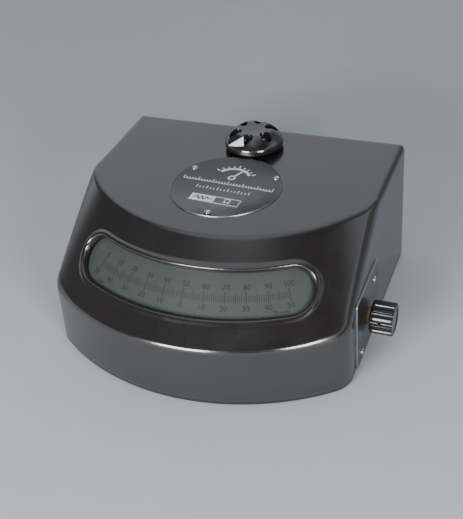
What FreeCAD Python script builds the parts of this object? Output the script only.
import FreeCAD, Part
import math
import os
import re

import Sketcher

# Spot reflecting galvanometer: a moulded case with a curved scale window, the range switch on top, the zero
# adjuster on the right side, and inside it a taut-strip moving coil with a mirror, a lamp and a scale.
# Frame: X to the right, Y to the back, Z up. The origin is on the bench, under the middle of the case.
# The driving dimensions are in millimetres.
SIZES = {
    # case
    "foot_gap": 1.5, "top_level": 104.0, "wall": 3.5, "half_width": 115.0, "side_draft": 0.9,
    "back": 110.0, "front_limit": 130.0,
    "base_radius": 170.0, "base_centre": 60.0,
    "skirt_radius": 163.7, "skirt_centre": 53.1, "skirt_level": 48.9,
    "brow_radius": 127.8, "brow_centre": 76.8,
    "section_angle": 68.0, "bend_inset": 0.438, "brow_inset": 0.391, "lip_height": 1.8,
    "crease_round": 5.0, "corner_round": 22.0, "back_round": 4.0, "brow_round": 5.3,
    # window in the sloping face: heights of its edges, and where its round ends are centred
    "window_low": 64.6, "window_high": 86.9, "window_angle": 29.3, "lip_width": 5.0,
    "slope_sine": 0.678, "slope_cosine": 0.735,
    # base, its screws and feet
    "plate_thick": 2.5, "plate_gap": 0.3, "floor_level": 4.0, "boss_radius": 7.0, "boss_top": 30.0,
    "boss_reach": 105.0, "boss_back": 90.0, "boss_front": -50.0, "base_screw_radius": 1.5,
    "base_screw_head": 3.0, "base_screw_length": 16.0, "screw_ease": 0.05,
    "foot_radius": 9.0, "foot_neck": 4.0, "foot_barb": 5.2, "foot_reach": 82.0, "foot_back": 82.0,
    "foot_front": -62.0,
    # plate on top
    "badge_centre": 13.4, "badge_radius": 42.5, "badge_thick": 0.8, "badge_rim": 1.0, "badge_pitch": 37.9,
    "small_screw_radius": 1.25, "small_screw_head": 2.6, "small_screw_crown": 1.6, "small_screw_length": 8.0,
    # range switch
    "range_centre": 77.2, "range_knob_low": 106.6, "range_rim": 4.1, "range_rim_radius": 23.0,
    "grip_radius": 13.5, "grip_foot": 15.5, "grip_top": 121.5, "grip_round": 2.0, "flute_radius": 4.6,
    "flute_pitch": 15.4, "range_shaft_radius": 3.0, "range_shaft_low": 82.0, "range_shaft_high": 118.0,
    "range_bush_radius": 4.8, "range_bush_top": 106.2, "range_nut_radius": 7.0, "running_gap": 0.05,
    "switch_plate_radius": 16.0, "switch_plate_thick": 2.0, "wafer_radius": 17.5, "wafer_level": 84.0,
    "wafer_hole": 9.0, "rotor_radius": 8.7, "spacer_pitch": 13.5,
    # zero adjuster
    "zero_back": -15.4, "zero_level": 28.4, "zero_shaft_radius": 3.0, "zero_bush_radius": 5.0,
    "zero_nut_radius": 7.0, "zero_knob_start": 119.0, "zero_knob_length": 17.0, "zero_knob_radius": 12.3,
    "zero_knob_round": 1.5, "zero_flute_radius": 1.8, "grub_radius": 1.5, "grub_angle": 162.0,
    "side_plate_front": -46.5, "side_plate_back": 13.5, "side_plate_low": 2.5, "side_plate_high": 59.0,
    "side_plate_thick": 1.2, "roller_radius": 6.0, "roller_hub": 4.0, "roller_place": 96.0, "roller_width": 4.0,
    "bracket_place": 88.0, "bracket_thick": 2.5,
    # scale: a cone about an upright axis
    "scale_centre": 63.0, "scale_low": 58.5, "scale_high": 89.5, "scale_low_radius": 155.9,
    "scale_high_radius": 122.3, "scale_thick": 2.2, "scale_half_angle": 39.0, "carrier_thick": 1.8,
    "carrier_border": 5.0, "arm_level": 34.75, "arm_thick": 1.5, "guide_pitch": 150.0, "guide_angle": 22.0,
    # moving coil and its magnet
    "coil_centre": 66.0, "pole_bore": 13.2, "pole_low": 14.0, "pole_high": 42.0, "core_radius": 9.2,
    "core_low": 17.0, "core_high": 39.0, "former_reach": 11.2, "former_low": 13.0, "former_high": 43.0,
    "former_bar": 1.0, "former_depth": 5.0, "winding_thick": 1.2, "winding_depth": 4.0,
    "stem_radius": 0.8, "stem_top": 60.0, "mirror_radius": 6.0, "mirror_level": 53.0, "mirror_thick": 1.2,
    "strip_width": 0.8, "strip_thick": 0.2, "strip_bore": 0.5, "bridge_level": 68.0, "bridge_thick": 3.0,
    "bridge_reach": 26.0, "bridge_post": 22.0,
    # lamp
    "lamp_slant": 13.7, "lamp_radius": 12.0, "lamp_wall": 1.0, "lamp_length": 70.0, "lamp_back": -80.0,
    "lamp_level": 17.1, "bulb_radius": 5.5,
    # mains transformer
    "core_place": -75.0, "core_back": 66.0, "core_width": 44.0, "core_height": 40.0, "core_stack": 16.0,
    "core_limb": 12.0, "core_window": 24.0, "core_yoke": 8.0, "coil_build": 7.0,
    # back panel
    "terminal_pitch": 19.0, "terminal_level": 34.0, "terminal_place": 58.0, "stud_radius": 3.4,
    "socket_radius": 2.0, "socket_depth": 18.0, "stud_end": 128.0, "insulator_radius": 9.0,
    "insulator_thick": 3.0, "insulator_sleeve": 5.5, "terminal_head_radius": 7.5, "terminal_head_length": 12.0,
    "inlet_place": -60.0, "inlet_level": 30.0, "inlet_width": 28.0, "inlet_height": 20.0, "inlet_depth": 20.0,
    "inlet_wall": 2.0, "inlet_border": 3.0, "board_place": 84.0, "board_front": 14.0, "bobbin_radius": 5.0,
    "bobbin_pitch": 11.5,
}

doc = FreeCAD.newDocument("Galvanometer")
sheet = doc.addObject("Spreadsheet::Sheet", "Sizes")
for row, (alias, number) in enumerate(SIZES.items(), start=1):
    sheet.set(f"A{row}", alias)
    sheet.set(f"B{row}", str(number))
    sheet.setAlias(f"B{row}", alias)
doc.recompute()

Vector = FreeCAD.Vector
X_AXIS = Vector(1, 0, 0)
Y_AXIS = Vector(0, 1, 0)
Z_AXIS = Vector(0, 0, 1)
TURNS = {
    "z": FreeCAD.Rotation(),
    "x": FreeCAD.Rotation(Y_AXIS, 90),
    "y": FreeCAD.Rotation(X_AXIS, -90),
}
nodes = []


def size(alias):
    """The value of one driving dimension."""
    return float(sheet.get(alias))


def formula(text):
    """An expression in which the driving dimensions are named without their sheet."""
    return re.sub(r"[a-z_]+", lambda word: "Sizes." + word[0] if word[0] in SIZES else word[0], str(text))


def bind(thing, **properties):
    for name, text in properties.items():
        thing.setExpression(name, formula(text))
    return thing


def place(thing, x=0, y=0, z=0, turn=None):
    """Puts an object at x, y, z, each a formula, turned by a rotation or on to an axis."""
    rotation = TURNS[turn] if isinstance(turn, str) else turn or FreeCAD.Rotation()
    thing.Placement = FreeCAD.Placement(Vector(), rotation)
    for letter, text in zip("xyz", (x, y, z)):
        thing.setExpression("Placement.Base." + letter, formula(text))
    return thing


def cylinder(name, radius, height, x=0, y=0, z=0, turn=None):
    return place(bind(doc.addObject("Part::Cylinder", name), Radius=radius, Height=height), x, y, z, turn)


def cone(name, low_radius, high_radius, height, x=0, y=0, z=0, turn=None):
    thing = doc.addObject("Part::Cone", name)
    return place(bind(thing, Radius1=low_radius, Radius2=high_radius, Height=height), x, y, z, turn)


def box(name, length, width, height, x=0, y=0, z=0, turn=None):
    """A box of those X, Y and Z sizes whose low corner is at x, y, z."""
    return place(bind(doc.addObject("Part::Box", name), Length=length, Width=width, Height=height), x, y, z, turn)


def hexagon(name, radius, height, x=0, y=0, z=0, turn=None):
    """A six-sided prism, radius being that of its corners."""
    thing = doc.addObject("Part::Prism", name)
    thing.Polygon = 6
    return place(bind(thing, Circumradius=radius, Height=height), x, y, z, turn)


def tube(name, radius, hole, height, x=0, y=0, z=0, turn=None):
    outside = cylinder(name + "_outside", radius, height, x, y, z, turn)
    return cut(name, outside, cylinder(name + "_hole", hole, height, x, y, z, turn))


def cut(name, base, *tools):
    """The base less the tools."""
    tool = tools[0] if len(tools) == 1 else fuse(name + "_tools", *tools)
    thing = doc.addObject("Part::Cut", name)
    thing.Base = base
    thing.Tool = tool
    return thing


def fuse(name, *things):
    thing = doc.addObject("Part::MultiFuse", name)
    thing.Shapes = list(things)
    return thing


def common(name, *things):
    thing = doc.addObject("Part::MultiCommon", name)
    thing.Shapes = list(things)
    return thing


def group(name, *things):
    """Separate solids that share one node."""
    thing = doc.addObject("Part::Compound", name)
    thing.Links = list(things)
    return thing


def rounded(name, base, radius, chosen):
    """The base with the edges that chosen(edge) picks rounded."""
    doc.recompute()
    thing = doc.addObject("Part::Fillet", name)
    thing.Base = base
    picked = [i for i, edge in enumerate(base.Shape.Edges, start=1) if chosen(edge)]
    thing.Edges = [(i, value_of(radius), value_of(radius)) for i in picked]
    return thing


def part(thing, label):
    """Names an object as one of the finished pieces."""
    thing.Label = label
    nodes.append(thing)
    return thing


def plane_of(body, role):
    return next(feature for feature in body.Origin.OriginFeatures if feature.Role == role)


def sketch_on(body, name, role):
    sketch = body.newObject("Sketcher::SketchObject", name)
    sketch.AttachmentSupport = (plane_of(body, role), [""])
    sketch.MapMode = "FlatFace"
    return sketch


def add_outline(sketch, points):
    """A closed outline of straight lines, each corner tied to the sheet by two formulas."""
    corners = [Vector(float(value_of(a)), float(value_of(b)), 0) for a, b in points]
    first = sketch.GeometryCount
    for start, end in zip(corners, corners[1:] + corners[:1]):
        sketch.addGeometry(Part.LineSegment(start, end), False)
    for i in range(len(corners)):
        before = first + (i - 1) % len(corners)
        sketch.addConstraint(Sketcher.Constraint("Coincident", before, 2, first + i, 1))
    for i, (corner, texts) in enumerate(zip(corners, points)):
        tie(sketch, first + i, corner.x, texts[0], "DistanceX", -2)
        tie(sketch, first + i, corner.y, texts[1], "DistanceY", -1)


def tie(sketch, line, distance, text, kind, axis):
    """Ties the start of a line to the sketch's origin along one axis, or on to the axis where it is at zero."""
    if abs(distance) < 1e-9:
        sketch.addConstraint(Sketcher.Constraint("PointOnObject", line, 1, axis))
        return
    number = sketch.addConstraint(Sketcher.Constraint(kind, -1, 1, line, 1, distance))
    sketch.setExpression(f"Constraints[{number}]", formula(text))


def value_of(text):
    """The number a formula gives."""
    return float(sheet.evalExpression(formula(text)))


def front_section(name, radius, centre, level):
    """A level outline of the case's front: an arc about a point on the centre plane, closed well behind it."""
    sketch = doc.addObject("Sketcher::SketchObject", name)
    reach = value_of(radius) * math.sin(math.radians(size("section_angle")))
    middle = value_of(centre)
    rear = middle + 1.2 * size("back")
    spread = math.radians(size("section_angle"))
    circle = Part.Circle(Vector(0, middle, 0), Z_AXIS, value_of(radius))
    arc = sketch.addGeometry(Part.ArcOfCircle(circle, -math.pi / 2 - spread, -math.pi / 2 + spread), False)
    flank = middle - value_of(radius) * math.cos(spread)
    corners = [Vector(reach, flank, 0), Vector(reach, rear, 0), Vector(-reach, rear, 0), Vector(-reach, flank, 0)]
    lines = [sketch.addGeometry(Part.LineSegment(*pair), False) for pair in zip(corners, corners[1:])]
    for first, second in zip([arc] + lines, lines + [arc]):
        sketch.addConstraint(Sketcher.Constraint("Coincident", first, 2, second, 1))
    sketch.addConstraint(Sketcher.Constraint("PointOnObject", arc, 3, -2))
    sketch.addConstraint(Sketcher.Constraint("Symmetric", arc, 1, arc, 2, -2))
    sketch.addConstraint(Sketcher.Constraint("Vertical", lines[0]))
    sketch.addConstraint(Sketcher.Constraint("Vertical", lines[2]))
    sketch.addConstraint(Sketcher.Constraint("Horizontal", lines[1]))
    measures = [
        (Sketcher.Constraint("Radius", arc, value_of(radius)), radius),
        (Sketcher.Constraint("DistanceY", -1, 1, arc, 3, middle), centre),
        (Sketcher.Constraint("DistanceX", -1, 1, arc, 2, reach), f"({radius}) * sin(section_angle * 1 deg)"),
        (Sketcher.Constraint("DistanceY", -1, 1, lines[1], 1, rear), f"({centre}) + 1.2 * back"),
    ]
    for constraint, text in measures:
        number = sketch.addConstraint(constraint)
        sketch.setExpression(f"Constraints[{number}]", formula(text))
    return place(sketch, z=level)


def front_loft(name, inset, foot):
    """The skirt and the sloping face moved in by inset, each ruled between two arcs, down to the foot level."""
    loft = doc.addObject("Part::Loft", name)
    loft.Sections = [
        front_section(name + "_base", f"base_radius - {inset}", "base_centre", foot),
        front_section(
            name + "_skirt", f"skirt_radius - {inset}", "skirt_centre", f"skirt_level - bend_inset * {inset}"
        ),
        front_section(name + "_brow", f"brow_radius - brow_inset * {inset}", "brow_centre", f"top_level - {inset}"),
    ]
    loft.Solid = True
    loft.Ruled = True
    return loft


def casing(name, inset, foot):
    """The solid inside the case's outer surface moved in by inset: the front cut to width and depth by a block
    with moulding draft, and its two front corners rounded from top to bottom."""
    block = bind(
        doc.addObject("Part::Wedge", name + "_block"),
        Xmin=f"{inset} - half_width",
        Xmax=f"half_width - {inset}",
        X2min=f"{inset} + side_draft - half_width",
        X2max=f"half_width - side_draft - {inset}",
        Ymin=foot,
        Ymax=f"top_level - {inset}",
        Zmin=f"{inset} - back",
        Z2min=f"{inset} + side_draft - back",
        Zmax="front_limit",
        Z2max="front_limit",
    )
    place(block, turn=FreeCAD.Rotation(X_AXIS, 90))
    square = common(name + "_square", front_loft(name + "_front", inset, foot), block)
    return rounded(name, square, f"corner_round - {inset}", is_front_corner)


def is_crease(edge):
    """The edge between the skirt and the sloping face."""
    bounds = edge.BoundBox
    level = bounds.ZLength < 0.01 and abs(bounds.ZMin - size("skirt_level")) < 1
    return level and bounds.YMin < -size("back") / 2


def is_front_corner(edge):
    """An edge up either front corner, where a side meets the skirt or the sloping face."""
    bounds = edge.BoundBox
    inner_side = size("half_width") - size("wall") - size("plate_gap") - size("side_draft") - 1
    on_side = bounds.XMin > inner_side or bounds.XMax < -inner_side
    return on_side and bounds.ZLength > 0.5 and bounds.YMax < size("back") / 2


def is_back_corner(edge):
    bounds = edge.BoundBox
    return bounds.ZLength > size("top_level") / 2 and bounds.YMin > size("back") / 2


def is_brow(edge):
    """An edge round the flat top."""
    return edge.BoundBox.ZMin > size("top_level") - 0.01


def face_radius(level):
    """The radius of the sloping face's arc at a level."""
    return f"(skirt_radius + (brow_radius - skirt_radius) * ({level} - skirt_level) / (top_level - skirt_level))"


def face_centre(level):
    return f"(skirt_centre + (brow_centre - skirt_centre) * ({level} - skirt_level) / (top_level - skirt_level))"


def window_block(name, grow):
    """A tool with the outline of the scale window grown by a border: a slot bent along the sloping face, square to
    it all round, with a full round at each end."""
    low_level = "window_low - 20"
    high_level = "window_low + 45"
    cones = []
    for edge, sign in (("window_low", 1), ("window_high", -1)):
        start = f"{face_radius(edge)} + {sign} * ({grow}) / slope_cosine"
        lean = "slope_sine / slope_cosine"
        cones.append(
            cone(
                f"{name}_{edge}", f"{start} + ({low_level} - {edge}) * {lean}",
                f"{start} + ({high_level} - {edge}) * {lean}", f"{high_level} - ({low_level})", 0, face_centre(edge),
                low_level,
            )
        )
    sector = window_sector(name + "_sector", low_level, high_level)
    band = common(name + "_band", cut(name + "_strip", *cones), sector)
    middle = "(window_low + window_high) / 2"
    ends = []
    for side, angle in (("left", "-window_angle"), ("right", "window_angle")):
        swing = value_of(angle)
        lean = math.degrees(math.atan2(size("slope_sine"), size("slope_cosine")))
        turn = FreeCAD.Rotation(Z_AXIS, swing).multiply(FreeCAD.Rotation(X_AXIS, lean))
        depth = {"sin": f"sin({angle} * 1 deg)", "cos": f"cos({angle} * 1 deg)"}
        start = f"({face_radius(middle)} - 30 * slope_sine)"
        ends.append(
            cylinder(
                f"{name}_{side}", f"(window_high - window_low) / 2 / slope_sine + {grow}", "50",
                f"{start} * {depth['sin']}", f"{face_centre(middle)} - {start} * {depth['cos']}",
                f"{middle} - 30 * slope_cosine", turn,
            )
        )
    return fuse(name, band, *ends)


def window_sector(name, low_level, high_level):
    """The slice of a drum that the straight part of the window spans."""
    thing = cylinder(
        name, "1.5 * base_radius", f"{high_level} - ({low_level})", 0, face_centre("(window_low + window_high) / 2"),
        low_level, FreeCAD.Rotation(Z_AXIS, -90 - size("window_angle")),
    )
    return bind(thing, Angle="2 * window_angle")


def screw(name, head_radius, head_height, radius, length, x, y, z, turn):
    """A round-headed screw whose head sits at x, y, z and whose shank runs back into the work."""
    into = {"z": (0, 0, -1), "x": (-1, 0, 0), "y": (0, -1, 0)}[turn]
    axis = TURNS.get(turn)
    rim = cylinder(name + "_rim", head_radius, head_height, x, y, z, axis)
    crown = doc.addObject("Part::Sphere", name + "_crown")
    bind(crown, Radius=f"1.3 * ({head_radius})")
    sink = f"(1.3 * ({head_radius}) - ({head_height}))"
    place(crown, *[f"({start}) + {step} * {sink}" for start, step in zip((x, y, z), into)])
    head = common(name + "_head", rim, crown)
    ends = [f"({start}) + {step} * ({length})" for start, step in zip((x, y, z), into)]
    shank = cylinder(name + "_shank", radius, length, *ends, axis)
    return fuse(name, head, shank)


# ---- case ----
edged = rounded("outer_edged", casing("outer", "0", "foot_gap"), "back_round", is_back_corner)
topped = rounded("outer_topped", edged, "brow_round", is_brow)
creased = rounded("outer_creased", front_loft("outer_limit", "0", "foot_gap"), "crease_round", is_crease)
outer = common("outer_form", topped, creased)
lip_ring = cut("lip_ring", window_block("lip_block", "lip_width"), window_block("lip_hole", "0"))
hollow = casing("hollow", "wall", "0")
lip_column = common("lip_column", lip_ring, front_loft("lip_limit", "(0 - lip_height)", "foot_gap"))
lip = cut("lip", lip_column, hollow)
corners = [(side, depth) for side in ("-boss_reach", "boss_reach") for depth in ("boss_back", "boss_front")]
bosses = [
    cylinder(f"boss_{i}", "boss_radius", "boss_top - floor_level", x, y, "floor_level")
    for i, (x, y) in enumerate(corners)
]
boss_holes = [
    cylinder(f"boss_hole_{i}", "base_screw_radius", "base_screw_length", x, y, "floor_level")
    for i, (x, y) in enumerate(corners)
]
badge_angles = (30, 150, 270)
badge_places = [
    (f"badge_pitch * cos({angle} * 1 deg)", f"badge_centre + badge_pitch * sin({angle} * 1 deg)")
    for angle in badge_angles
]
badge_holes = [
    cylinder(f"badge_hole_{i}", "small_screw_radius", "2 * wall", x, y, "top_level - 1.5 * wall")
    for i, (x, y) in enumerate(badge_places)
]
side_screws = [("1.3", "49.0"), ("-34.4", "9.6")]
side_holes = [
    cylinder(f"side_hole_{i}", "small_screw_radius", "3 * wall", "half_width - 2 * wall", y, z, "x")
    for i, (y, z) in enumerate(side_screws)
]
shaft_holes = [
    cylinder("range_hole", "range_bush_radius + running_gap", "3 * wall", 0, "range_centre", "top_level - 2 * wall"),
    cylinder(
        "zero_hole", "zero_bush_radius + running_gap", "3 * wall", "half_width - 2 * wall", "zero_back", "zero_level",
        "x",
    ),
]
terminal_places = ["terminal_place - terminal_pitch / 2", "terminal_place + terminal_pitch / 2"]
back_holes = [
    cylinder(
        f"terminal_hole_{i}", "insulator_sleeve", "3 * wall", x, "back - 2 * wall", "terminal_level", "y",
    )
    for i, x in enumerate(terminal_places)
]
back_holes.append(
    box(
        "inlet_hole", "inlet_width", "3 * wall", "inlet_height", "inlet_place - inlet_width / 2", "back - 2 * wall",
        "inlet_level - inlet_height / 2",
    )
)
shell = fuse("shell_with_bosses", cut("shell", outer, hollow), common("bosses", fuse("boss_posts", *bosses), outer))
window = window_block("window", "0")
holes = boss_holes + badge_holes + side_holes + shaft_holes + back_holes
part(cut("case_body", fuse("shell_with_lip", shell, lip), window, *holes), "case_cover")

# ---- base, its screws and feet ----
plate_limit = common(
    "plate_form",
    casing("plate_outline", "(wall + plate_gap)", "0"),
    box("plate_slab", "2 * half_width", "2 * front_limit", "plate_thick", "-half_width", "-front_limit", "foot_gap"),
)
feet = [(side, depth) for side in ("-foot_reach", "foot_reach") for depth in ("foot_back", "foot_front")]
plate_holes = [
    cylinder(f"foot_hole_{i}", "foot_neck", "plate_thick", x, y, "foot_gap") for i, (x, y) in enumerate(feet)
]
for i, (x, y) in enumerate(corners):
    plate_holes.append(cylinder(f"screw_hole_{i}", "base_screw_radius + screw_ease", "plate_thick", x, y, "foot_gap"))
    plate_holes.append(
        cone(
            f"screw_sink_{i}", "base_screw_head + screw_ease", "base_screw_radius + screw_ease",
            "base_screw_head - base_screw_radius", x, y, "foot_gap",
        )
    )
part(cut("base", plate_limit, *plate_holes), "base_plate")


def base_screw(i, x, y):
    head = cone(
        f"base_screw_head_{i}", "base_screw_head", "base_screw_radius - screw_ease",
        "base_screw_head - base_screw_radius", x, y, "foot_gap",
    )
    shank = cylinder(
        f"base_screw_shank_{i}", "base_screw_radius - screw_ease", "base_screw_length", x, y, "foot_gap",
    )
    slot = box(
        f"base_screw_slot_{i}", "2 * base_screw_head", "0.8", "0.7", f"({x}) - base_screw_head", f"({y}) - 0.4",
        "foot_gap",
    )
    return cut(f"base_screw_{i}", fuse(f"base_screw_form_{i}", head, shank), slot)


def foot(i, x, y):
    pad = cylinder(f"foot_pad_{i}", "foot_radius", "foot_gap", x, y)
    neck = cylinder(f"foot_neck_{i}", "foot_neck", "plate_thick", x, y, "foot_gap")
    barb = cone(f"foot_barb_{i}", "foot_barb", "foot_neck", "2.5", x, y, "floor_level")
    return fuse(f"foot_{i}", pad, neck, barb)


part(group("base_screw_set", *[base_screw(i, x, y) for i, (x, y) in enumerate(corners)]), "base_screws")
part(group("foot_set", *[foot(i, x, y) for i, (x, y) in enumerate(feet)]), "rubber_feet")

# ---- name plate on top ----
badge_disc = cylinder("badge_disc", "badge_radius", "badge_rim", 0, "badge_centre", "top_level")
badge_recess = cylinder(
    "badge_recess", "badge_radius - 0.9", "badge_rim", 0, "badge_centre", "top_level + badge_thick"
)
badge_openings = [
    cylinder(f"badge_opening_{i}", "small_screw_radius", "badge_rim", x, y, "top_level")
    for i, (x, y) in enumerate(badge_places)
]
part(cut("badge", badge_disc, badge_recess, *badge_openings), "name_plate")
badge_screws = [
    screw(
        f"badge_screw_{i}", "small_screw_head", "small_screw_crown", "small_screw_radius - screw_ease",
        "small_screw_length", x, y, "top_level + badge_thick", "z",
    )
    for i, (x, y) in enumerate(badge_places)
]
part(group("badge_screw_set", *badge_screws), "name_plate_screws")

# ---- plate on the right side, and its screws ----
draft = math.degrees(math.atan(size("side_draft") / (size("top_level") - size("foot_gap"))))
WALL_AT = "half_width - side_draft * ({level} - foot_gap) / (top_level - foot_gap)"
plate_form = box(
    "side_plate_form", "side_plate_thick", "side_plate_back - side_plate_front", "side_plate_high - side_plate_low",
    WALL_AT.format(level="side_plate_low") + " + 0.02", "side_plate_front", "side_plate_low",
    FreeCAD.Rotation(Y_AXIS, -draft),
)
rounded_plate = rounded(
    "side_plate_rounded", plate_form, "2", lambda edge: edge.BoundBox.XLength > 1 > edge.Length / 2
)
plate_openings = [
    cylinder(f"side_opening_{i}", "small_screw_radius", "4 * wall", "half_width - 2 * wall", y, z, "x")
    for i, (y, z) in enumerate(side_screws)
]
plate_openings.append(
    cylinder("zero_opening", "zero_bush_radius + running_gap", "4 * wall", "half_width - 2 * wall", "zero_back",
             "zero_level", "x")
)
part(cut("side_plate_body", rounded_plate, *plate_openings), "side_plate")
side_screw_set = [
    screw(
        f"side_screw_{i}", "small_screw_head", "small_screw_crown", "small_screw_radius - screw_ease",
        "small_screw_length", WALL_AT.format(level=z) + " + side_plate_thick + 0.06", y, z, "x",
    )
    for i, (y, z) in enumerate(side_screws)
]
part(group("side_screw_group", *side_screw_set), "side_plate_screws")


# ---- zero adjuster ----
def on_axis(name, radius, start, length, hole=None):
    """A disc or ring on the zero adjuster's shaft line."""
    if hole is None:
        return cylinder(name, radius, length, start, "zero_back", "zero_level", "x")
    return tube(name, radius, hole, length, start, "zero_back", "zero_level", "x")


RUNNING_BORE = "zero_shaft_radius + running_gap"
bush_form = fuse(
    "zero_bush_form",
    on_axis("zero_bush_body", "zero_bush_radius", "half_width - 7", "10"),
    on_axis("zero_bush_flange", "zero_bush_radius + 2.5", "half_width - 7", "3.1"),
)
part(cut("zero_bush_bored", bush_form, on_axis("zero_bush_bore", RUNNING_BORE, "half_width - 8", "12")), "zero_bush")
nut = hexagon("zero_nut_form", "zero_nut_radius", "2", "half_width + 1.06", "zero_back", "zero_level", "x")
part(cut("zero_nut_bored", nut, on_axis("zero_nut_bore", "zero_bush_radius", "half_width", "4")), "zero_nut")

bracket_form = fuse(
    "zero_bracket_form",
    box("zero_bracket_upright", "bracket_thick", "19", "30", "bracket_place", "zero_back - 9.5", "floor_level"),
    box("zero_bracket_foot", "14", "19", "2", "bracket_place - 14", "zero_back - 9.5", "floor_level"),
)
bracket_bore = on_axis("zero_bracket_bore", RUNNING_BORE, "bracket_place", "bracket_thick")
part(cut("zero_bracket_bored", bracket_form, bracket_bore), "zero_bracket")

shaft_length = "zero_knob_start + zero_knob_length - 3 - bracket_place + 2"
part(on_axis("zero_shaft_form", "zero_shaft_radius", "bracket_place - 2", shaft_length), "zero_shaft")
part(on_axis("roller", "roller_hub", "roller_place", "roller_width", "zero_shaft_radius"), "zero_roller")
part(on_axis("tyre", "roller_radius", "roller_place", "roller_width", "roller_hub"), "roller_tyre")

blank = rounded(
    "zero_knob_blank", on_axis("zero_knob_disc", "zero_knob_radius", "zero_knob_start", "zero_knob_length"),
    "zero_knob_round", lambda edge: edge.BoundBox.XMin > size("zero_knob_start") + 1 and edge.BoundBox.XLength < 1,
)
flutes = [
    cylinder(
        f"zero_flute_{i}", "zero_flute_radius", "zero_knob_length",
        "zero_knob_start + 4", f"zero_back + (zero_knob_radius + 0.5) * cos({30 * i} * 1 deg)",
        f"zero_level + (zero_knob_radius + 0.5) * sin({30 * i} * 1 deg)", "x",
    )
    for i in range(12)
]
grub_line = FreeCAD.Rotation(X_AXIS, size("grub_angle") - 90)


def radial(name, radius, start, length):
    """A rod square to the zero adjuster's shaft, along the line of its grub screw."""
    return cylinder(
        name, radius, length, "zero_knob_start + 7.5", f"zero_back + ({start}) * cos(grub_angle * 1 deg)",
        f"zero_level + ({start}) * sin(grub_angle * 1 deg)", grub_line,
    )


knob_tools = [
    on_axis("zero_knob_bore", "zero_shaft_radius", "zero_knob_start", "zero_knob_length - 3"),
    radial("zero_knob_tapping", "grub_radius", "zero_shaft_radius - 1", "zero_knob_radius"),
]
part(cut("zero_knob_body", blank, *flutes, *knob_tools), "zero_knob")
grub = radial("zero_grub_form", "grub_radius - screw_ease", "zero_shaft_radius + screw_ease", "5")
part(cut("zero_grub_cut", grub, radial("zero_grub_socket", "0.7", "zero_shaft_radius + 3", "3")), "zero_knob_grub")


# ---- scale ----
def scale_radius(level):
    """The outer radius of the scale's cone at a level."""
    slope = "(scale_high_radius - scale_low_radius) / (scale_high - scale_low)"
    return f"scale_low_radius + {slope} * ({level} - scale_low)"


def cone_layer(name, depth, thick, low, high):
    """A layer of the scale's cone, depth in from its outer surface, between two levels."""
    outside = cone(
        name + "_outside", f"{scale_radius(low)} - ({depth})", f"{scale_radius(high)} - ({depth})",
        f"{high} - ({low})", 0, "scale_centre", low,
    )
    inside = cone(
        name + "_inside", f"{scale_radius(low)} - ({depth}) - {thick}",
        f"{scale_radius(high)} - ({depth}) - {thick}", f"{high} - ({low})", 0, "scale_centre", low,
    )
    return cut(name, outside, inside)


def sector(name, half_angle, low, high):
    """A slice of a drum about the scale's upright axis, centred on the front."""
    thing = cylinder(
        name, "1.2 * scale_low_radius", f"({high}) - ({low})", 0, "scale_centre", low,
        FreeCAD.Rotation(Z_AXIS, -90 - value_of(half_angle)),
    )
    return bind(thing, Angle=f"2 * ({half_angle})")


screen = common(
    "scale_sheet", cone_layer("scale_layer", "0", "scale_thick", "scale_low", "scale_high"),
    sector("scale_sector", "scale_half_angle", "scale_low", "scale_high"),
)
part(screen, "scale_screen")
carrier_form = common(
    "carrier_sheet", cone_layer("carrier_layer", "scale_thick", "carrier_thick", "scale_low", "scale_high"),
    sector("carrier_sector", "scale_half_angle", "scale_low", "scale_high"),
)
carrier_gap = sector(
    "carrier_opening", "scale_half_angle - 2.5", "scale_low + carrier_border", "scale_high - carrier_border"
)
part(cut("carrier", carrier_form, carrier_gap), "scale_carrier")

arm_post = box("arm_post", "10", "16", "31.25", "88", "-60", "arm_level")
arm_limit = cone(
    "arm_limit", f"{scale_radius('arm_level')} - scale_thick - carrier_thick",
    f"{scale_radius('scale_high')} - scale_thick - carrier_thick", "scale_high - arm_level", 0, "scale_centre",
    "arm_level",
)
arm_strip = box("arm_strip", "14", "50", "arm_thick", "88", "-48", "arm_level")
part(fuse("arm", common("arm_flange", arm_post, arm_limit), arm_strip), "scale_arm")


def guide(name, angle):
    """A post that carries the scale's lower edge, with a pin behind it."""
    turned = FreeCAD.Rotation(Z_AXIS, angle)
    spots = [
        (f"{reach} * sin({angle} * 1 deg)", f"scale_centre - {reach} * cos({angle} * 1 deg)")
        for reach in ("guide_pitch", "(guide_pitch - 8)")
    ]
    post = cylinder(name + "_post", "5", "scale_low - 0.4 - floor_level", *spots[0], "floor_level", turned)
    ledge = cylinder(name + "_ledge", "3.5", "3", *spots[1], "scale_low - 3.4", turned)
    pin = cylinder(name + "_pin", "1.5", "7", *spots[1], "scale_low - 0.4", turned)
    return fuse(name, post, ledge, pin)


part(group("guide_set", guide("guide_left", -22), guide("guide_right", 22)), "scale_guides")


# ---- range switch ----
def on_range(name, radius, low, high, hole=None):
    """A disc or ring on the range switch's shaft line, between two levels."""
    if hole is None:
        return cylinder(name, radius, f"({high}) - ({low})", 0, "range_centre", low)
    return tube(name, radius, hole, f"({high}) - ({low})", 0, "range_centre", low)


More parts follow.
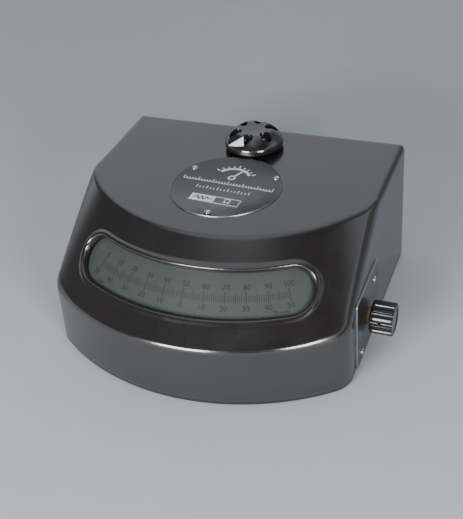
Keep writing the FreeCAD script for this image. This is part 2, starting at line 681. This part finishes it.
INNER_TOP = "top_level - wall"
RANGE_BORE = "range_shaft_radius + running_gap"
part(on_range("range_bush_form", "range_bush_radius", INNER_TOP + " - 2", "range_bush_top", RANGE_BORE), "range_bush")
range_nut_form = hexagon(
    "range_nut_form", "range_nut_radius", "range_bush_top - top_level", 0, "range_centre", "top_level"
)
range_nut_bore = on_range("range_nut_bore", "range_bush_radius", "top_level - 1", "range_bush_top + 1")
part(cut("range_nut_bored", range_nut_form, range_nut_bore), "range_nut")
spacer_places = [(f"{side}spacer_pitch", "range_centre") for side in ("-", "")]
plate_bores = [
    cylinder(f"index_hole_{i}", "1.5", "switch_plate_thick", x, y, INNER_TOP + " - switch_plate_thick")
    for i, (x, y) in enumerate(spacer_places)
]
index_plate = on_range(
    "index_plate", "switch_plate_radius", INNER_TOP + " - switch_plate_thick", INNER_TOP, "range_bush_radius"
)
part(cut("index_plate_drilled", index_plate, *plate_bores), "switch_plate")
wafer_disc = on_range("wafer_disc", "wafer_radius", "wafer_level", "wafer_level + 2", "wafer_hole")
wafer_bores = [
    cylinder(f"wafer_bore_{i}", "1.5", "2", x, y, "wafer_level") for i, (x, y) in enumerate(spacer_places)
]
part(cut("wafer", wafer_disc, *wafer_bores), "switch_wafer")
spacers = []
for i, (x, y) in enumerate(spacer_places):
    rod = cylinder(f"spacer_rod_{i}", "1.5", "top_level - wall - wafer_level + 3", x, y, "wafer_level - 3")
    sleeve = cylinder(
        f"spacer_sleeve_{i}", "2.2", "top_level - wall - switch_plate_thick - wafer_level - 2", x, y,
        "wafer_level + 2",
    )
    end = hexagon(f"spacer_nut_{i}", "2.8", "2", x, y, "wafer_level - 2")
    spacers.append(fuse(f"spacer_{i}", rod, sleeve, end))
part(group("spacer_set", *spacers), "switch_spacers")
contacts = []
for i in range(10):
    angle = 45 + 18 * i + (90 if i > 4 else 0)
    contacts.append(
        box(
            f"contact_{i}", "9", "1.6", "0.6", f"12 * cos({angle} * 1 deg) + 0.8 * sin({angle} * 1 deg)",
            f"range_centre + 12 * sin({angle} * 1 deg) - 0.8 * cos({angle} * 1 deg)", "wafer_level + 2",
            FreeCAD.Rotation(Z_AXIS, angle),
        )
    )
part(group("contact_set", *contacts), "switch_contacts")

part(on_range("range_shaft_form", "range_shaft_radius", "range_shaft_low", "range_shaft_high"), "range_shaft")
notches = [
    cylinder(
        f"detent_notch_{i}", "1.4", "2.5", f"11.6 * cos({30 * i} * 1 deg)",
        f"range_centre + 11.6 * sin({30 * i} * 1 deg)", "94",
    )
    for i in range(12)
]
detent = on_range("detent_disc", "11", "94", "96.5", "range_shaft_radius")
part(cut("detent", detent, *notches), "detent_wheel")
wiper = box("rotor_finger", "2.4", "rotor_radius - 1", "1", "-1.2", "range_centre", "wafer_level - 0.5")
rotor_disc = on_range("rotor_disc", "rotor_radius", "wafer_level + 0.4", "wafer_level + 1.6", "range_shaft_radius")
rotor_hub = on_range("rotor_hub", "5", "wafer_level - 0.5", "wafer_level + 4", "range_shaft_radius")
rotor_bore = on_range("rotor_bore", "range_shaft_radius", "wafer_level - 1", "wafer_level + 5")
part(cut("rotor", fuse("rotor_form", wiper, rotor_disc, rotor_hub), rotor_bore), "switch_rotor")

rim = rounded(
    "range_rim_round",
    on_range("range_rim_disc", "range_rim_radius", "range_knob_low", "range_knob_low + range_rim"),
    "1", lambda edge: edge.BoundBox.ZMin > size("range_knob_low") + 1 and edge.BoundBox.ZLength < 1,
)
grip = fuse(
    "range_grip_form",
    cylinder("range_grip", "grip_radius", "grip_top - range_knob_low - 2", 0, "range_centre", "range_knob_low + 2"),
    cone("range_grip_foot", "grip_foot + 1", "grip_radius", "5", 0, "range_centre", "range_knob_low + 2"),
)
grip_round = rounded(
    "range_grip_round", grip, "grip_round",
    lambda edge: edge.BoundBox.ZMin > size("grip_top") - 0.01,
)
grip_flutes = [
    cylinder(
        f"range_flute_{i}", "flute_radius", "20", f"flute_pitch * cos({60 * i + 30} * 1 deg)",
        f"range_centre + flute_pitch * sin({60 * i + 30} * 1 deg)", "range_knob_low + range_rim",
    )
    for i in range(6)
]
range_grub_line = FreeCAD.Rotation(X_AXIS, -90)
range_tapping = cylinder(
    "range_tapping", "grub_radius", "range_rim_radius", 0, "range_centre + 2", "range_knob_low + 2.05",
    range_grub_line,
)
range_knob_bore = on_range("range_knob_bore", "range_shaft_radius", "range_knob_low", "range_shaft_high")
range_knob_form = fuse("range_knob_form", rim, cut("range_grip_fluted", grip_round, *grip_flutes))
part(cut("range_knob_body", range_knob_form, range_knob_bore, range_tapping), "range_knob")
range_grub = cylinder(
    "range_grub_form", "grub_radius - screw_ease", "6", 0, "range_centre + range_shaft_radius + screw_ease",
    "range_knob_low + 2.05", range_grub_line,
)
range_grub_socket = cylinder(
    "range_grub_socket", "0.7", "3", 0, "range_centre + range_shaft_radius + 4", "range_knob_low + 2.05",
    range_grub_line,
)
part(cut("range_grub_cut", range_grub, range_grub_socket), "range_knob_grub")


# ---- moving coil and its magnet ----
def on_coil(name, radius, low, high, hole=None):
    """A disc or ring on the coil's upright axis, between two levels."""
    if hole is None:
        return cylinder(name, radius, f"({high}) - ({low})", 0, "coil_centre", low)
    return tube(name, radius, hole, f"({high}) - ({low})", 0, "coil_centre", low)


def across(name, half_length, front, back, low, high):
    """A box centred left to right about the coil's axis; front and back are measured from that axis."""
    return box(
        name, f"2 * ({half_length})", f"({back}) - ({front})", f"({high}) - ({low})", f"-({half_length})",
        f"coil_centre + ({front})", low,
    )


base_block = across("movement_block", "42", "-16", "34", "floor_level", "10")
part(cut("movement_plate", base_block, on_coil("movement_bore", "3", "floor_level", "10")), "movement_base")
anchor = cut(
    "anchor_form", on_coil("anchor_post", "3", "floor_level", "8"), on_coil("anchor_bore", "strip_bore", "6", "9")
)
part(anchor, "lower_anchor")
magnet_form = cut(
    "magnet_form", across("magnet_block", "40", "-14", "32", "10", "44"),
    across("magnet_gap", "30", "-15", "20", "9", "45"),
)
part(magnet_form, "field_magnet")
poles = [
    cut(
        f"pole_{name}",
        box(f"pole_block_{name}", "24", "28", "pole_high - pole_low", x, "coil_centre - 14", "pole_low"),
        on_coil(f"pole_cut_{name}", "pole_bore", "pole_low", "pole_high"),
    )
    for name, x in (("left", "-30"), ("right", "6"))
]
part(group("pole_set", *poles), "pole_pieces")
part(on_coil("core_form", "core_radius", "core_low", "core_high"), "iron_core")
core_arm = across("core_arm", "3", "7", "20", "26", "30")
core_arm_limit = on_coil("core_arm_limit", "core_radius", "25", "31")
part(cut("core_arm_form", core_arm, core_arm_limit), "core_bracket")

former = cut(
    "former_form",
    across("former_outside", "former_reach", "-former_depth / 2", "former_depth / 2", "former_low", "former_high"),
    across("former_inside", "former_reach - former_bar", "-former_depth", "former_depth", "former_low + former_bar",
           "former_high - former_bar"),
)
part(former, "coil_former")
winding = cut(
    "winding_form",
    across("winding_outside", "former_reach + winding_thick", "-winding_depth / 2", "winding_depth / 2",
           "former_low - winding_thick", "former_high + winding_thick"),
    across("winding_inside", "former_reach", "-winding_depth", "winding_depth", "former_low", "former_high"),
)
part(winding, "coil_winding")
part(on_coil("stem_form", "stem_radius", "former_high + winding_thick", "stem_top"), "coil_stem")
mirror = cylinder(
    "mirror_form", "mirror_radius", "mirror_thick", 0, "coil_centre - stem_radius - mirror_thick", "mirror_level", "y"
)
part(mirror, "coil_mirror")
strips = [
    across("strip_above", "strip_width / 2", "-strip_thick / 2", "strip_thick / 2", "stem_top", "bridge_level"),
    across(
        "strip_below", "strip_width / 2", "-strip_thick / 2", "strip_thick / 2", "7", "former_low - winding_thick"
    ),
]
part(group("strip_set", *strips), "suspension_strips")

bridge_plate = across("bridge_plate", "bridge_reach", "-8", "8", "bridge_level", "bridge_level + bridge_thick")
bridge_posts = [
    cylinder(f"bridge_post_{i}", "2.5", "bridge_level - pole_high", x, "coil_centre", "pole_high")
    for i, x in enumerate(("-bridge_post", "bridge_post"))
]
bridge = fuse("bridge_form", bridge_plate, *bridge_posts)
bridge_bore = on_coil("bridge_bore", "3", "bridge_level", "bridge_level + bridge_thick")
part(cut("bridge_bored", bridge, bridge_bore), "suspension_bridge")
head_form = fuse(
    "head_form", on_coil("head_neck", "3", "bridge_level - 2", "bridge_level + bridge_thick"),
    on_coil("head_disc", "6", "bridge_level + bridge_thick", "bridge_level + bridge_thick + 4"),
)
head_bore = on_coil("head_bore", "strip_bore", "bridge_level - 2", "bridge_level + 1")
part(cut("head_bored", head_form, head_bore), "torsion_head")

# ---- lamp ----
lamp_line = FreeCAD.Rotation(X_AXIS, size("lamp_slant") - 90)


def on_lamp(name, radius, start, length):
    """A disc on the lamp's slanting line, start being measured along it from the back of the lamp house."""
    return cylinder(
        name, radius, length, 0, f"lamp_back + ({start}) * cos(lamp_slant * 1 deg)",
        f"lamp_level + ({start}) * sin(lamp_slant * 1 deg)", lamp_line,
    )


def lamp_ball(name, radius, along):
    thing = bind(doc.addObject("Part::Sphere", name), Radius=radius)
    return place(thing, 0, f"lamp_back + ({along}) * cos(lamp_slant * 1 deg)",
                 f"lamp_level + ({along}) * sin(lamp_slant * 1 deg)")


house = cut(
    "lamp_tube", on_lamp("lamp_outside", "lamp_radius", "0", "lamp_length"),
    on_lamp("lamp_inside", "lamp_radius - lamp_wall", "0", "lamp_length"),
)
part(house, "lamp_house")
lamp_foot = box("lamp_foot", "20", "24", "26", "-10", "lamp_back + 26", "floor_level")
lamp_saddle = on_lamp("lamp_saddle", "lamp_radius", "0", "lamp_length")
lamp_flat = box(
    "lamp_flat", "22", "40", "40", "-11", "lamp_back + 20", "lamp_level + 30 * sin(lamp_slant * 1 deg)"
)
part(cut("lamp_stand", lamp_foot, lamp_saddle, lamp_flat), "lamp_bracket")
holder = cut(
    "holder_form",
    on_lamp("holder_disc", "lamp_radius - lamp_wall", "0", "12"),
    on_lamp("holder_bore", "4.5", "3", "10"),
)
part(holder, "lamp_holder")
bulb = fuse("bulb_form", on_lamp("bulb_cap", "4.5", "3", "14"), lamp_ball("bulb_glass", "bulb_radius", "20"))
part(bulb, "lamp_bulb")
lens = common(
    "lens_form", on_lamp("lens_disc", "lamp_radius - lamp_wall", "36", "8"),
    lamp_ball("lens_back", "18", "53"), lamp_ball("lens_front", "18", "27"),
)
part(lens, "condenser_lens")
slit = box(
    "graticule_slit", "1.2", "8", "12", "-0.6", "lamp_back + 60 * cos(lamp_slant * 1 deg) - 4",
    "lamp_level + 60 * sin(lamp_slant * 1 deg) - 6",
)
part(cut("graticule_form", on_lamp("graticule_disc", "lamp_radius - lamp_wall", "60", "0.8"), slit), "graticule")


# ---- mains transformer ----
def by_core(name, half_width, half_depth, low, high):
    return box(
        name, f"2 * ({half_width})", f"2 * ({half_depth})", f"({high}) - ({low})", f"core_place - ({half_width})",
        f"core_back - ({half_depth})", low,
    )


WINDOW_FLOOR = "floor_level + core_yoke"
core_windows = [
    box(
        f"core_window_{i}", "(core_width - core_limb) / 2 - core_yoke", "2 * core_stack", "core_window",
        x, "core_back - core_stack", WINDOW_FLOOR,
    )
    for i, x in enumerate(("core_place - core_width / 2 + core_yoke", "core_place + core_limb / 2"))
]
core = by_core("core_block", "core_width / 2", "core_stack / 2", "floor_level", "floor_level + core_height")
part(cut("core_form_iron", core, *core_windows), "transformer_core")
coil = cut(
    "mains_coil",
    by_core("mains_coil_outside", "core_limb / 2 + coil_build", "core_stack / 2 + coil_build", WINDOW_FLOOR,
            WINDOW_FLOOR + " + core_window"),
    by_core("mains_coil_inside", "core_limb / 2", "core_stack / 2", WINDOW_FLOOR, WINDOW_FLOOR + " + core_window"),
)
part(coil, "transformer_coil")


# ---- back panel ----
def on_terminal(name, x, radius, start, end):
    return cylinder(name, radius, f"({end}) - ({start})", x, start, "terminal_level", "y")


insulators = []
studs = []
for i, x in enumerate(terminal_places):
    insulator = fuse(
        f"insulator_form_{i}",
        on_terminal(f"insulator_sleeve_{i}", x, "insulator_sleeve - running_gap", "back - 8", "back"),
        on_terminal(f"insulator_flange_{i}", x, "insulator_radius", "back", "back + insulator_thick"),
    )
    insulators.append(
        cut(f"insulator_{i}", insulator, on_terminal(f"insulator_bore_{i}", x, "stud_radius", "back - 9", "back + 9"))
    )
    stud = fuse(
        f"stud_form_{i}", on_terminal(f"stud_rod_{i}", x, "stud_radius", "back - 18", "stud_end"),
        cylinder(f"stud_nut_{i}", "6", "3", x, "back - 11", "terminal_level", "y"),
    )
    socket = on_terminal(f"stud_socket_{i}", x, "socket_radius", "stud_end - socket_depth", "stud_end")
    studs.append(cut(f"stud_{i}", stud, socket))
part(group("insulator_set", *insulators), "terminal_bases")
part(group("stud_set", *studs), "terminal_studs")
for i, (x, side) in enumerate(zip(terminal_places, ("left", "right"))):
    start = "back + insulator_thick + 0.4"
    form = cylinder(f"terminal_head_form_{i}", "terminal_head_radius", "terminal_head_length", x, start,
                    "terminal_level", "y")
    edged_head = rounded(
        f"terminal_head_round_{i}", form, "1.2", lambda edge: edge.BoundBox.YMin > size("back") + 10,
    )
    bore = on_terminal(f"terminal_head_bore_{i}", x, "stud_radius + running_gap", "back", "stud_end")
    ribs = [
        cylinder(
            f"terminal_rib_{i}_{k}", "1", "terminal_head_length",
            f"{x} + (terminal_head_radius + 0.4) * cos({30 * k} * 1 deg)", start,
            f"terminal_level + (terminal_head_radius + 0.4) * sin({30 * k} * 1 deg)", "y",
        )
        for k in range(12)
    ]
    part(cut(f"terminal_head_{i}", edged_head, bore, *ribs), f"terminal_head_{side}")


def on_inlet(name, margin, start, end):
    return box(
        name, f"inlet_width + 2 * ({margin})", f"({end}) - ({start})", f"inlet_height + 2 * ({margin})",
        f"inlet_place - inlet_width / 2 - ({margin})", start, f"inlet_level - inlet_height / 2 - ({margin})",
    )


inlet_form = fuse(
    "inlet_form", on_inlet("inlet_body", "(0 - running_gap)", "back - inlet_depth", "back"),
    on_inlet("inlet_flange", "inlet_border", "back", "back + 1.5"),
)
inlet_recess = on_inlet("inlet_recess", "(0 - inlet_wall)", "back - inlet_depth + 4", "back + 2")
part(cut("inlet", inlet_form, inlet_recess), "mains_inlet")
pins = [
    box(
        f"inlet_pin_{i}", "2", "10", "4", f"inlet_place + ({x}) - 1", "back - inlet_depth + 4",
        f"inlet_level + ({z}) - 2",
    )
    for i, (x, z) in enumerate((("-7", "-2"), ("0", "2"), ("7", "-2")))
]
part(group("pin_set", *pins), "inlet_pins")
part(box("board", "1.6", "58", "54", "board_place", "board_front", "floor_level"), "resistor_board")
bobbins = [
    fuse(
        f"bobbin_{i}",
        cylinder(f"bobbin_spool_{i}", "bobbin_radius - 1.2", "12", "board_place - 12", f"{y}", z, "x"),
        cylinder(f"bobbin_end_{i}", "bobbin_radius", "1.5", "board_place - 12", f"{y}", z, "x"),
        cylinder(f"bobbin_foot_{i}", "bobbin_radius", "1.5", "board_place - 1.5", f"{y}", z, "x"),
    )
    for i, (y, z) in enumerate([(f"board_front + 6 + {k} * bobbin_pitch", z) for k in range(5) for z in ("20", "40")])
]
part(group("bobbin_set", *bobbins), "shunt_bobbins")

doc.recompute()
for thing in doc.Objects:
    if "Invalid" in thing.State or "Error" in thing.State:
        raise RuntimeError(f"{thing.Name} did not recompute")
os.makedirs("parts", exist_ok=True)
for thing in nodes:
    if thing.Shape.isNull() or not thing.Shape.isValid() or not thing.Shape.Solids:
        raise RuntimeError(f"{thing.Label} has no valid solid")
    thing.Shape.exportStep(f"parts/{thing.Label}.step")
